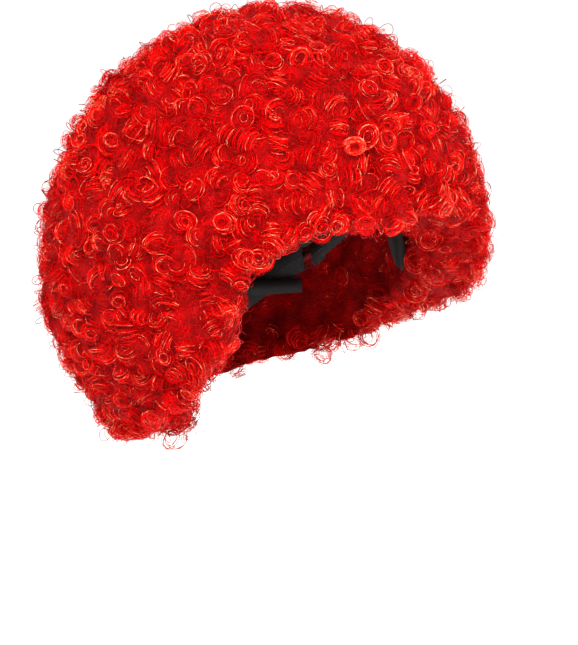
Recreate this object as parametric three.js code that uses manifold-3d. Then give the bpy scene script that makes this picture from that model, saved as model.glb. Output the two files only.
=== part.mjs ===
// Costume wig: a round afro of tight curls, sewn in rows on a stretch net cap.
// Millimetres, +Z up, the wearer faces -Y, and +X is the wearer's left.
// The origin is the middle of the wearer's head at brow height.
import * as THREE from "three";
import { mergeVertices } from "three/addons/utils/BufferGeometryUtils.js";
import Module from "manifold-3d";

const wasm = await Module();
wasm.setup();

// ---- driving dimensions ------------------------------------------------

// The head that the cap is cut for.
const HEAD_WIDTH = 156;
const HEAD_LENGTH = 198;
const HEAD_RISE = 104; // brow line to crown

// The ball of hair, an ellipsoid whose long axis leans forward at the top.
const HAIR_WIDTH = 272;
const HAIR_SHORT_AXIS = 262;
const HAIR_LONG_AXIS = 316;
const HAIR_LEAN = 35; // degrees
const HAIR_CENTRE = new THREE.Vector3(0, -5, -2);

// Edges, each as [degrees round from the front, height from the brow line].
const CAP_EDGE = [[0, 20], [60, 4], [95, -10], [128, -38], [180, -60]];
const ROOT_EDGE = [[0, 18], [30, 9], [52, -34], [72, -50], [92, -68], [112, -78], [180, -80]];
const HEM_EDGE = [[0, 22], [30, 12], [52, -42], [72, -68], [92, -80], [112, -86], [180, -94]];

// The cap's layers, counted out from the head, and the room left between two of them.
const BAND_THICKNESS = 0.7;
const NET_THICKNESS = 0.8;
const RIB_THICKNESS = 0.8;
const WEFT_THICKNESS = 1.6;
const LAYER_GAP = 0.9;

const ROWS = 9; // rows of hair round the cap, below the crown
const ROW_GAP = 1.4;
const WEFT_HEIGHT = 4;

const FRONT_BAND_HEIGHT = 22;
const FRONT_BAND_SPAN = 50; // degrees each side of the front
const EAR_BAND_HEIGHT = 12;
const NAPE_BAND_HEIGHT = 20;
const NAPE_BAND_START = 128;
const BAND_MARGIN = 0.8; // the cap's edge stands this far below a band
const SEAM_TURN = 4; // degrees between one band and the next

const TAB_TURN = 26; // degrees of the head's side that the tab covers
const TAB_BOTTOM = -30;
const TAB_OVERLAP = 12; // how far the tab runs up inside the cap

const RIB_WIDTH = 10;
const SIDE_RIBS = [58, 122]; // degrees from the front, on each side
const SIDE_RIB_REACH = 32; // how far from the crown they end

const PATCH_REACH = 20;
const PATCH_GAP = 0.9;
const PAD_RADIUS = 19;
const PAD_THICKNESS = 1.8;
const PAD_CLEARANCE = 1;

const LABEL_SIZE = [32, 16];
const LABEL_THICKNESS = 0.6;
const LABEL_GAP = 3;

const STRAP_HEIGHT = -46;
const STRAP_LENGTH = 36;
const STRAP_LEAD = 3; // from its free end to the tape of eyelets, along the nape
const STRAP_WIDTH = 9;
const STRAP_THICKNESS = 1.1;
const STRAP_BEND = 52; // radius that the strap curls to
const STRAP_STANDOFF = 1.9; // its middle stands this far inside the head form
const HOOK_WIRE = 1.4;
const EYE_CLEARANCE = 0.5; // round the hook's bar
const EYE_WALL = 1.3;
const HOOK_REACH = 6;
const HOOK_SIDE_CLEARANCE = 0.5;
const TONGUE_WIDTH = 4;
const TONGUE_LENGTH = 5;

const EYELETS = 4;
const EYELET_PITCH = 5;
const EYELET_RADIUS = 1.3;
const EYELET_WIRE = 0.45;
const EYELET_TAPE_WIDTH = 8;
const EYELET_TAPE_THICKNESS = 0.8;
const EYELET_TAPE_GAP = 0.6; // to the nape band outside it
const EYELET_MARGIN = 6; // from the tape's end to the middle of the nape

const ROUND_STEPS = 40; // sides of every ring that goes round the head

const above = (layer, thickness) => [layer[1] + LAYER_GAP, layer[1] + LAYER_GAP + thickness];
const BAND_LAYER = [0, BAND_THICKNESS];
const NET_LAYER = above(BAND_LAYER, NET_THICKNESS);
const RIB_LAYER = above(NET_LAYER, RIB_THICKNESS);
const WEFT_LAYER = above(RIB_LAYER, WEFT_THICKNESS);
const HAIR_START = WEFT_LAYER[1] + LAYER_GAP;
const EYELET_TAPE_LAYER = [-EYELET_TAPE_GAP - EYELET_TAPE_THICKNESS, -EYELET_TAPE_GAP];
const EYE_BORE = HOOK_WIRE + 2 * EYE_CLEARANCE;
const EYE_RADIUS = EYE_BORE / 2 + EYE_WALL;

// ---- the head form and the ball of hair ---------------------------------

const RADIANS = Math.PI / 180;
const HEAD = new THREE.Vector3(HEAD_WIDTH / 2, HEAD_LENGTH / 2, HEAD_RISE);
const lerp = THREE.MathUtils.lerp;

// A smooth height through an edge's points, level at the front and the back.
function heightAt(edge, azimuth) {
  const turn = Math.abs(((azimuth + 540) % 360) - 180);
  const last = edge.length - 1;
  let i = 0;
  while (i < last - 1 && edge[i + 1][0] < turn) i += 1;
  const slope = (k) =>
    k === 0 || k === last
      ? 0
      : (edge[k + 1][1] - edge[k - 1][1]) / (edge[k + 1][0] - edge[k - 1][0]);
  const [x0, y0] = edge[i];
  const [x1, y1] = edge[i + 1];
  const run = x1 - x0;
  const t = (turn - x0) / run;
  const rise = y0 * (1 + 2 * t) * (1 - t) ** 2 + y1 * t * t * (3 - 2 * t);
  const lean = slope(i) * run * t * (1 - t) ** 2 + slope(i + 1) * run * t * t * (t - 1);
  return rise + lean;
}

function direction(azimuth, elevation) {
  const flat = Math.cos(elevation);
  return new THREE.Vector3(
    flat * Math.sin(azimuth * RADIANS),
    -flat * Math.cos(azimuth * RADIANS),
    Math.sin(elevation),
  );
}

// The elevation, in radians, at which the head form has this height.
function headElevation(height) {
  return Math.asin(height / HEAD.z);
}

// A point at a distance outside the head form.
function onHead(azimuth, elevation, distance) {
  const point = direction(azimuth, elevation).multiply(HEAD);
  const normal = point.clone().divide(HEAD).divide(HEAD).normalize();
  return point.addScaledVector(normal, distance);
}

// The point of the ball of hair that lies this way from its centre.
function onHair(azimuth, elevation) {
  const way = direction(azimuth, elevation);
  const lean = HAIR_LEAN * RADIANS;
  const across = way.y * Math.cos(lean) + way.z * Math.sin(lean);
  const along = way.z * Math.cos(lean) - way.y * Math.sin(lean);
  const reach = 1 / Math.hypot(
    way.x / (HAIR_WIDTH / 2),
    across / (HAIR_SHORT_AXIS / 2),
    along / (HAIR_LONG_AXIS / 2),
  );
  return way.multiplyScalar(reach).add(HAIR_CENTRE);
}

// The elevation at which the ball of hair comes down to its hem, by halving.
function hemElevation(azimuth) {
  const wanted = heightAt(HEM_EDGE, azimuth);
  let low = -Math.PI / 2;
  let high = Math.PI / 4;
  for (let step = 0; step < 24; step += 1) {
    const middle = (low + high) / 2;
    if (onHair(azimuth, middle).z < wanted) low = middle;
    else high = middle;
  }
  return high;
}

// A place on a layer of the cap: share 0 is the cap's edge and 1 is the crown.
function onCap(azimuth, share, distance) {
  const edge = headElevation(heightAt(CAP_EDGE, azimuth));
  return onHead(azimuth, lerp(edge, Math.PI / 2, share), distance);
}

// The share at which this much of the way to the crown is left.
function shareLeft(azimuth, length) {
  const edge = headElevation(heightAt(CAP_EDGE, azimuth));
  return 1 - length / (HEAD_RISE * (Math.PI / 2 - edge));
}

// A place in the hair: depth 0 is at its roots and 1 is the outer surface.
function inHair(azimuth, share, depth) {
  const root = headElevation(heightAt(ROOT_EDGE, azimuth));
  const inner = onHead(azimuth, lerp(root, Math.PI / 2, share), HAIR_START);
  const outer = onHair(azimuth, lerp(hemElevation(azimuth), Math.PI / 2, share));
  return inner.lerp(outer, depth);
}

// A place on a band: a height above an edge, at a distance from the head.
function aboveEdge(edge, azimuth, rise, distance) {
  const height = heightAt(edge, azimuth) + rise;
  return onHead(azimuth, headElevation(height), distance);
}

// Degrees round the head that a length takes at this place.
function degreesFor(length, azimuth, height) {
  const elevation = headElevation(height);
  const step = onHead(azimuth, elevation, 0).distanceTo(onHead(azimuth + 1, elevation, 0));
  return length / step;
}

// ---- solids ---------------------------------------------------------------

// The geometry with shared vertices, each moved by place, and its faces turned out.
function shaped(geometry, place = (point) => point) {
  geometry.deleteAttribute("normal");
  geometry.deleteAttribute("uv");
  const merged = mergeVertices(geometry, 1e-4);
  const position = merged.getAttribute("position");
  const index = merged.getIndex().array;
  const points = [];
  for (let i = 0; i < position.count; i += 1) {
    const point = place(new THREE.Vector3().fromBufferAttribute(position, i));
    position.setXYZ(i, point.x, point.y, point.z);
    points.push(point);
  }
  let volume = 0;
  for (let i = 0; i < index.length; i += 3) {
    const [a, b, c] = [points[index[i]], points[index[i + 1]], points[index[i + 2]]];
    volume += a.dot(b.clone().cross(c));
  }
  if (volume < 0) index.reverse();
  return merged;
}

// A closed ring round the head. at(azimuth, up, out) takes up and out from 0 to 1.
function ring(upSteps, outSteps, at) {
  const profile = [];
  for (let i = 0; i < upSteps; i += 1) profile.push(new THREE.Vector2(1, i / upSteps));
  for (let i = 0; i < outSteps; i += 1) profile.push(new THREE.Vector2(1 + i / outSteps, 1));
  for (let i = 0; i < upSteps; i += 1) profile.push(new THREE.Vector2(2, 1 - i / upSteps));
  for (let i = 0; i <= outSteps; i += 1) profile.push(new THREE.Vector2(2 - i / outSteps, 0));
  return shaped(new THREE.LatheGeometry(profile, ROUND_STEPS), (point) => {
    const azimuth = Math.atan2(point.x, point.z) / RADIANS;
    return at(azimuth, point.y, Math.hypot(point.x, point.z) - 1);
  });
}

// A closed dome over the crown. at(azimuth, away, out) takes away 0 at the crown.
function dome(awaySteps, at) {
  const profile = [];
  for (let i = 0; i <= awaySteps; i += 1) profile.push(new THREE.Vector2(i / awaySteps, 0));
  for (let i = awaySteps; i >= 0; i -= 1) profile.push(new THREE.Vector2(i / awaySteps, 1));
  return shaped(new THREE.LatheGeometry(profile, ROUND_STEPS), (point) => {
    const azimuth = Math.atan2(point.x, point.z) / RADIANS;
    return at(azimuth, Math.hypot(point.x, point.z), point.y);
  });
}

// A closed strip. at(along, up, out) takes each from 0 to 1.
function strip(alongSteps, upSteps, at) {
  const box = new THREE.BoxGeometry(1, 1, 1, alongSteps, upSteps, 1).translate(0.5, 0.5, 0.5);
  return shaped(box, (point) => at(point.x, point.y, point.z));
}

// One closed solid out of several that touch or cross.
function joined(...geometries) {
  const solids = geometries.map(
    (geometry) =>
      new wasm.Manifold(
        new wasm.Mesh({
          numProp: 3,
          vertProperties: geometry.getAttribute("position").array,
          triVerts: new Uint32Array(geometry.getIndex().array),
        }),
      ),
  );
  const mesh = solids.reduce((whole, solid) => whole.add(solid)).getMesh();
  return new THREE.BufferGeometry()
    .setAttribute("position", new THREE.BufferAttribute(mesh.vertProperties, 3))
    .setIndex(new THREE.BufferAttribute(mesh.triVerts, 1));
}

// ---- materials --------------------------------------------------------------

const finish = (color, roughness, metalness = 0) => ({ color, roughness, metalness });
const HAIR = finish(0xc8100c, 0.45);
const WEFT = finish(0x9a0e0c, 0.8);
const NET = finish(0x1b1a1c, 0.8);
const ELASTIC = finish(0x141416, 0.75);
const VELVET = finish(0x221f21, 0.95);
const LABEL = finish(0xe9e6df, 0.7);
const STEEL = finish(0x2c2c30, 0.4, 0.9);

const wig = new THREE.Group();

function add(group, name, geometry, look) {
  const mesh = new THREE.Mesh(geometry, new THREE.MeshStandardMaterial(look));
  mesh.name = name;
  group.add(mesh);
  return mesh;
}

const SIDES = [["left", 1], ["right", -1]];
const numbered = (name, number) => `${name}_${String(number).padStart(2, "0")}`;

// ---- the cap ------------------------------------------------------------------

function addCap() {
  add(wig, "net_cap", ring(11, 1, (azimuth, up, out) => {
    const top = shareLeft(azimuth, PATCH_REACH + PATCH_GAP);
    return onCap(azimuth, up * top, lerp(...NET_LAYER, out));
  }), NET);
  add(wig, "crown_patch", dome(3, (azimuth, away, out) =>
    onCap(azimuth, shareLeft(azimuth, away * PATCH_REACH), lerp(...NET_LAYER, out))), VELVET);

  // The pad is flat, and as high as the cap lets its rim go.
  const rimRise = Math.sqrt(1 - (PAD_RADIUS / HEAD.x) ** 2);
  const padTop = HEAD.z * rimRise + NET_LAYER[0] - PAD_CLEARANCE;
  const padBottom = padTop - PAD_THICKNESS;
  const pad = new THREE.CylinderGeometry(PAD_RADIUS, PAD_RADIUS, PAD_THICKNESS, ROUND_STEPS);
  pad.rotateX(Math.PI / 2).translate(0, 0, padBottom + PAD_THICKNESS / 2);
  add(wig, "crown_pad", shaped(pad), VELVET);
}

// A band inside the cap's edge, between two azimuths.
function edgeBand(from, to, height, steps) {
  return strip(steps, 2, (along, up, out) =>
    aboveEdge(
      CAP_EDGE,
      lerp(from, to, along),
      BAND_MARGIN + up * height,
      lerp(...BAND_LAYER, out),
    ));
}

function addBands() {
  const front = edgeBand(-FRONT_BAND_SPAN, FRONT_BAND_SPAN, FRONT_BAND_HEIGHT, 14);
  add(wig, "front_band", front, VELVET);
  const nape = edgeBand(NAPE_BAND_START, 360 - NAPE_BAND_START, NAPE_BAND_HEIGHT, 14);
  add(wig, "nape_band", nape, ELASTIC);
  const tabStart = FRONT_BAND_SPAN + SEAM_TURN;
  const earBandStart = tabStart + TAB_TURN + SEAM_TURN;
  const earBandEnd = NAPE_BAND_START - SEAM_TURN;
  for (const [side, sign] of SIDES) {
    const band = edgeBand(earBandStart * sign, earBandEnd * sign, EAR_BAND_HEIGHT, 6);
    add(wig, `ear_band_${side}`, band, ELASTIC);
    add(wig, `ear_tab_${side}`, earTab(tabStart, sign), VELVET);
  }
}

// The tab in front of the ear: it narrows in a round end below the cap's edge.
function earTab(start, sign) {
  const middle = start + TAB_TURN / 2;
  const top = heightAt(CAP_EDGE, middle) + TAB_OVERLAP;
  return strip(4, 8, (along, up, out) => {
    const taper = Math.sqrt(1 - 0.9 * (1 - up) ** 4);
    const azimuth = middle + (along - 0.5) * TAB_TURN * taper;
    const elevation = headElevation(lerp(TAB_BOTTOM, top, up));
    return onHead(azimuth * sign, elevation, lerp(...BAND_LAYER, out));
  });
}

// The middle rib runs from the forehead over the crown to the nape.
function middleRib() {
  const front = headElevation(heightAt(CAP_EDGE, 0));
  const back = Math.PI - headElevation(heightAt(CAP_EDGE, 180));
  return strip(26, 2, (along, up, out) => {
    const sweep = lerp(front, back, along);
    const distance = lerp(...RIB_LAYER, out);
    const point = new THREE.Vector3(
      0,
      -Math.cos(sweep) * (HEAD.y + distance),
      Math.sin(sweep) * (HEAD.z + distance),
    );
    const reach = (up - 0.5) * RIB_WIDTH;
    const shrink = 1 - (reach / HEAD.x) ** 2 / 2; // it wraps a little round the head
    return point.multiplyScalar(shrink).setX(reach);
  });
}

function sideRib(azimuth) {
  const halfTurn = degreesFor(RIB_WIDTH / 2, azimuth, 0);
  const top = shareLeft(azimuth, SIDE_RIB_REACH);
  return strip(2, 12, (along, up, out) => {
    const share = up * top;
    const spread = halfTurn / Math.cos((share * Math.PI) / 2);
    const turn = azimuth + (2 * along - 1) * spread;
    return onCap(turn, share, lerp(...RIB_LAYER, out));
  });
}

function addRibs() {
  add(wig, "rib_middle", middleRib(), ELASTIC);
  for (const [side, sign] of SIDES)
    SIDE_RIBS.forEach((azimuth, i) => {
      const name = `rib_${["front", "back"][i]}_${side}`;
      add(wig, name, sideRib(azimuth * sign), ELASTIC);
    });
}

// The blank care label sits inside the net, above the nape band.
function addLabel() {
  const [width, height] = LABEL_SIZE;
  const bottom = heightAt(CAP_EDGE, 180) + BAND_MARGIN + NAPE_BAND_HEIGHT + LABEL_GAP;
  const turn = degreesFor(width / 2, 180, bottom);
  const outer = NET_LAYER[0] - LAYER_GAP;
  const label = strip(4, 2, (along, up, out) =>
    onHead(
      180 + (2 * along - 1) * turn,
      headElevation(bottom + up * height),
      lerp(outer - LABEL_THICKNESS, outer, out),
    ));
  add(wig, "care_label", label, LABEL);
}

// ---- the hair --------------------------------------------------------------------

// Row 1 is at the cap's edge. Each row of hair hangs on a weft of its own.
function addHair() {
  const rowShare = 1 / (ROWS + 1);
  const gapShare = ROW_GAP / HEAD_RISE;
  for (let row = 0; row < ROWS; row += 1) {
    const from = row * rowShare;
    const to = from + rowShare - gapShare;
    add(wig, numbered("weft", row + 1), ring(1, 1, (azimuth, up, out) => {
      const arc = HEAD_RISE * (Math.PI / 2 - headElevation(heightAt(CAP_EDGE, azimuth)));
      const middle = (from + to) / 2;
      const share = middle + ((up - 0.5) * WEFT_HEIGHT) / arc;
      return onCap(azimuth, share, lerp(...WEFT_LAYER, out));
    }), WEFT);
    add(wig, numbered("hair_row", row + 1), ring(2, 2, (azimuth, up, out) =>
      inHair(azimuth, lerp(from, to, up), out)), HAIR);
  }
  const crownShare = rowShare * ROWS;
  const weftSpan = (rowShare * 2) / 3;
  add(wig, "weft_crown", dome(2, (azimuth, away, out) =>
    onCap(azimuth, 1 - away * weftSpan, lerp(...WEFT_LAYER, out))), WEFT);
  add(wig, "hair_crown", dome(3, (azimuth, away, out) =>
    inHair(azimuth, 1 - away * (1 - crownShare), out)), HAIR);
}

// ---- the size adjuster at the nape ----------------------------------------------

const napeDegrees = (length) => degreesFor(length, 180, STRAP_HEIGHT);
const tapeSpan = napeDegrees(EYELETS * EYELET_PITCH);
const tapeStart = 180 - napeDegrees(EYELET_MARGIN) - tapeSpan;
const strapMiddle = tapeStart - napeDegrees(STRAP_LENGTH / 2);
const strapRoot = tapeStart - degreesFor(STRAP_LENGTH + STRAP_LEAD, strapMiddle, STRAP_HEIGHT);

// A frame on the head form: x runs back along the nape, y points into the cap.
function placeStrap(group, sign) {
  const elevation = headElevation(STRAP_HEIGHT);
  const root = onHead(strapRoot, elevation, -STRAP_STANDOFF);
  const along = onHead(strapRoot + 1, elevation, -STRAP_STANDOFF).sub(root).normalize();
  const out = onHead(strapRoot, elevation, 1 - STRAP_STANDOFF).sub(root);
  const inward = out.addScaledVector(along, -out.dot(along)).normalize().negate();
  const up = along.clone().cross(inward);
  group.matrix.makeBasis(along, inward, up).setPosition(root);
  group.matrix.premultiply(new THREE.Matrix4().makeScale(sign, 1, 1));
  group.matrixAutoUpdate = false;
}

// A point of the strap's middle line in plan, and offset to one side of it.
function strapPoint(run, offset = 0) {
  const turn = run / STRAP_BEND;
  const radius = STRAP_BEND - offset;
  return new THREE.Vector2(radius * Math.sin(turn), STRAP_BEND - radius * Math.cos(turn));
}

function extruded(shape, width) {
  const settings = { depth: width, bevelEnabled: false, curveSegments: 12 };
  return new THREE.ExtrudeGeometry(shape, settings).translate(0, 0, -width / 2);
}

// A curved tape that ends in a round eye.
function strapBody() {
  const tapeEnd = STRAP_LENGTH - (EYE_RADIUS + EYE_BORE / 2) / 2;
  const outline = [];
  const steps = 8;
  for (const offset of [-STRAP_THICKNESS / 2, STRAP_THICKNESS / 2]) {
    const line = [];
    for (let i = 0; i <= steps; i += 1) line.push(strapPoint((tapeEnd * i) / steps, offset));
    outline.push(...(offset < 0 ? line : line.reverse()));
  }
  const tape = shaped(extruded(new THREE.Shape(outline), STRAP_WIDTH));
  const centre = strapPoint(STRAP_LENGTH);
  const eyeShape = new THREE.Shape().absarc(centre.x, centre.y, EYE_RADIUS, 0, 2 * Math.PI);
  const bore = new THREE.Path().absarc(centre.x, centre.y, EYE_BORE / 2, 0, 2 * Math.PI, true);
  eyeShape.holes.push(bore);
  return joined(tape, shaped(extruded(eyeShape, STRAP_WIDTH)));
}

// A wire frame through the strap's eye, with a tongue bent back on its end.
function hookBody() {
  const innerWidth = STRAP_WIDTH + 2 * HOOK_SIDE_CLEARANCE;
  const box = (length, thickness, width, x, y, z) =>
    shaped(new THREE.BoxGeometry(length, thickness, width).translate(x, y, z));
  const bar = new THREE.CylinderGeometry(
    HOOK_WIRE / 2, HOOK_WIRE / 2, innerWidth + HOOK_WIRE, 10,
  ).rotateX(Math.PI / 2);
  const pieces = [shaped(bar)];
  for (const sign of [1, -1]) {
    const z = (sign * (innerWidth + HOOK_WIRE)) / 2;
    pieces.push(box(HOOK_REACH + HOOK_WIRE, HOOK_WIRE, HOOK_WIRE, HOOK_REACH / 2, 0, z));
  }
  const frameWidth = innerWidth + 2 * HOOK_WIRE;
  pieces.push(box(HOOK_WIRE, HOOK_WIRE, frameWidth, HOOK_REACH, 0, 0));
  const tip = HOOK_REACH + TONGUE_LENGTH;
  const back = 2 * HOOK_WIRE; // the tongue comes back this far inside the plate
  pieces.push(box(TONGUE_LENGTH + HOOK_WIRE / 2, HOOK_WIRE / 2, TONGUE_WIDTH,
    HOOK_REACH + TONGUE_LENGTH / 2, 0, 0));
  pieces.push(box(HOOK_WIRE / 2, back, TONGUE_WIDTH, tip, back / 2 - HOOK_WIRE / 4, 0));
  pieces.push(box(TONGUE_LENGTH / 2, HOOK_WIRE / 2, TONGUE_WIDTH,
    tip - TONGUE_LENGTH / 4 + HOOK_WIRE / 4, back - HOOK_WIRE / 2, 0));
  return joined(...pieces);
}

// A tape of wire loops inside the nape band.
function eyeletTape(sign) {
  const bottom = STRAP_HEIGHT - EYELET_TAPE_WIDTH / 2;
  // A loop is sewn into the tape at one side and stands into the cap at the other.
  const loopDistance = EYELET_TAPE_LAYER[1] - EYELET_WIRE - EYELET_RADIUS;
  const pieces = [
    strip(6, 2, (along, up, out) =>
      onHead(
        (tapeStart + tapeSpan * along) * sign,
        headElevation(bottom + up * EYELET_TAPE_WIDTH),
        lerp(...EYELET_TAPE_LAYER, out),
      )),
  ];
  for (let i = 0; i < EYELETS; i += 1) {
    const azimuth = (tapeStart + ((i + 0.5) / EYELETS) * tapeSpan) * sign;
    const elevation = headElevation(STRAP_HEIGHT);
    const middle = onHead(azimuth, elevation, loopDistance);
    const away = onHead(azimuth, elevation, loopDistance + 1).sub(middle);
    const up = onHead(azimuth, elevation + 0.01, loopDistance).sub(middle).normalize();
    const across = up.clone().cross(away);
    const loop = new THREE.TorusGeometry(EYELET_RADIUS, EYELET_WIRE, 5, 9);
    loop.applyMatrix4(new THREE.Matrix4().makeBasis(up, away, across).setPosition(middle));
    pieces.push(shaped(loop));
  }
  return joined(...pieces);
}

function addAdjusters() {
  for (const [side, sign] of SIDES) {
    const strapFrame = new THREE.Group();
    placeStrap(strapFrame, sign);
    add(strapFrame, `adjuster_strap_${side}`, strapBody(), ELASTIC);

    const hookFrame = new THREE.Group();
    const eye = strapPoint(STRAP_LENGTH);
    hookFrame.position.set(eye.x, eye.y, 0);
    hookFrame.rotation.z = STRAP_LENGTH / STRAP_BEND;
    add(hookFrame, `hook_${side}`, hookBody(), STEEL);
    strapFrame.add(hookFrame);
    wig.add(strapFrame);

    add(wig, `eyelet_tape_${side}`, eyeletTape(sign), ELASTIC);
  }
}

addCap();
addBands();
addRibs();
addLabel();
addHair();
addAdjusters();

export default wig;
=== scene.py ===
"""A red curly afro wig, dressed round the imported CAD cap: ringlets, netting, tapes and straps."""
import math

import bpy
import bmesh
import numpy as np
from mathutils import Matrix, Vector
from mathutils.bvhtree import BVHTree
from mathutils.kdtree import KDTree


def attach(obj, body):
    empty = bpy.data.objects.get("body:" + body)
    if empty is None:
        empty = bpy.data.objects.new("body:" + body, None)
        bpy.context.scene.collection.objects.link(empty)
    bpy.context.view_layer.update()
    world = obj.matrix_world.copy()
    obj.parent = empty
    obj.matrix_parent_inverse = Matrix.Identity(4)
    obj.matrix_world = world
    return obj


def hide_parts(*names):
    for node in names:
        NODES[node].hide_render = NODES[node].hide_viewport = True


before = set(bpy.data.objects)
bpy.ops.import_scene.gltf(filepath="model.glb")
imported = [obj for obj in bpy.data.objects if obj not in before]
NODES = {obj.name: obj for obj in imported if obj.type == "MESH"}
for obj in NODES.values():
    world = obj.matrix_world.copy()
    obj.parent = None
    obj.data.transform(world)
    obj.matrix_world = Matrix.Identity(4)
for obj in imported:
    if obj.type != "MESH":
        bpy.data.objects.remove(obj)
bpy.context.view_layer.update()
MM = 0.001
random = np.random.default_rng(41)

HAIR_ROWS = sorted(name for name in NODES if name.startswith("hair_"))
WEFTS = sorted(name for name in NODES if name.startswith("weft_"))
RIBS = sorted(name for name in NODES if name.startswith("rib_"))
SIDES = ("left", "right")


# ---- camera, light and floor ------------------------------------------------

CAMERA_AZIMUTH = -28
CAMERA_ELEVATION = 15
CAMERA_ROLL = 13  # the head leans to its right, so the picture leans with it
CAMERA_DISTANCE = 1.7
FRAME_HEIGHT = 0.381  # what the picture's long side covers at the head
HEAD_IN_FRAME = Vector((-0.0172, 0.0428))  # where the head's middle sits, right and up
FLOOR_DROP = 0.25  # how far the floor lies below the middle of the head
FLOOR_REACH = 30  # so far that its edges are never seen
FLOOR_GREY = (0.85, 0.85, 0.85, 1)
FLOOR_GLOW = 0.78  # a lit paper sweep, white in the picture
DAYLIGHT = 0.30
WHITE = (1, 1, 1)
WARM_WHITE = (1.0, 0.86, 0.74)
# Each soft box: name, the way to it from the wig, distance, width, watts and colour.
LIGHTS = [
    ("key", (-0.75, -1.0, 1.15), 1.1, 0.22, 17, WARM_WHITE),
    ("second_key", (0.25, -1.0, 0.75), 1.2, 0.16, 10, WARM_WHITE),
    ("fill", (1.0, -0.6, 0.35), 1.3, 0.9, 8, WHITE),
    ("low_fill", (-0.9, -0.6, -0.05), 1.3, 0.9, 5, WHITE),
    ("back_left", (-1.0, 0.9, 0.6), 1.2, 0.6, 3, WHITE),
    ("back_right", (1.0, 0.8, 0.9), 1.2, 0.6, 3, WHITE),
]


def camera_axes(azimuth, elevation, roll):
    """The picture's right, up and towards-the-viewer directions."""
    a, e, r = (math.radians(angle) for angle in (azimuth, elevation, roll))
    back = Vector((math.sin(a) * math.cos(e), -math.cos(a) * math.cos(e), math.sin(e)))
    level = Vector((math.cos(a), math.sin(a), 0))
    upright = back.cross(level)
    right = level * math.cos(r) - upright * math.sin(r)
    up = level * math.sin(r) + upright * math.cos(r)
    return right, up, back


def make_camera():
    """The camera, so placed that the head's middle falls at HEAD_IN_FRAME."""
    right, up, back = camera_axes(CAMERA_AZIMUTH, CAMERA_ELEVATION, CAMERA_ROLL)
    aim = -(right * HEAD_IN_FRAME.x + up * HEAD_IN_FRAME.y)
    data = bpy.data.cameras.new("camera")
    data.lens = data.sensor_width * CAMERA_DISTANCE / FRAME_HEIGHT
    data.clip_end = 2 * FLOOR_REACH
    camera = bpy.data.objects.new("camera", data)
    stand = Matrix((right, up, back)).transposed().to_4x4()
    stand.translation = aim + back * CAMERA_DISTANCE
    camera.matrix_world = stand
    bpy.context.scene.collection.objects.link(camera)
    bpy.context.scene.camera = camera


def add_light(name, direction, distance, width, watts, color):
    """A square soft box that looks at the wig's middle."""
    data = bpy.data.lights.new(name, "AREA")
    data.size = width
    data.energy = watts
    data.color = color
    light = bpy.data.objects.new(name, data)
    way = Vector(direction).normalized()
    light.location = way * distance
    light.rotation_euler = way.to_track_quat("Z", "Y").to_euler()
    bpy.context.scene.collection.objects.link(light)


def make_floor():
    """A wide white floor, which isn't part of the wig."""
    mesh = bpy.data.meshes.new("floor")
    signs = [(-1, -1), (1, -1), (1, 1), (-1, 1)]
    corners = [(x * FLOOR_REACH, y * FLOOR_REACH, -FLOOR_DROP) for x, y in signs]
    mesh.from_pydata(corners, [], [(0, 1, 2, 3)])
    floor = bpy.data.objects.new("floor", mesh)
    bpy.context.scene.collection.objects.link(floor)
    material = bpy.data.materials.new("floor")
    material.use_nodes = True
    shader = material.node_tree.nodes["Principled BSDF"]
    shader.inputs["Base Color"].default_value = FLOOR_GREY
    shader.inputs["Roughness"].default_value = 0.9
    shader.inputs["Emission Color"].default_value = (*WHITE, 1)
    shader.inputs["Emission Strength"].default_value = FLOOR_GLOW
    mesh.materials.append(material)


def make_studio():
    """The plain white surroundings, the soft boxes and the floor."""
    scene = bpy.context.scene
    scene.view_settings.view_transform = "Standard"
    world = bpy.data.worlds.new("studio")
    scene.world = world
    world.use_nodes = True
    background = world.node_tree.nodes["Background"]
    background.inputs["Color"].default_value = (*WHITE, 1)
    background.inputs["Strength"].default_value = DAYLIGHT
    for light in LIGHTS:
        add_light(*light)
    make_floor()


make_camera()
make_studio()


# ---- materials ----------------------------------------------------------------

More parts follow.
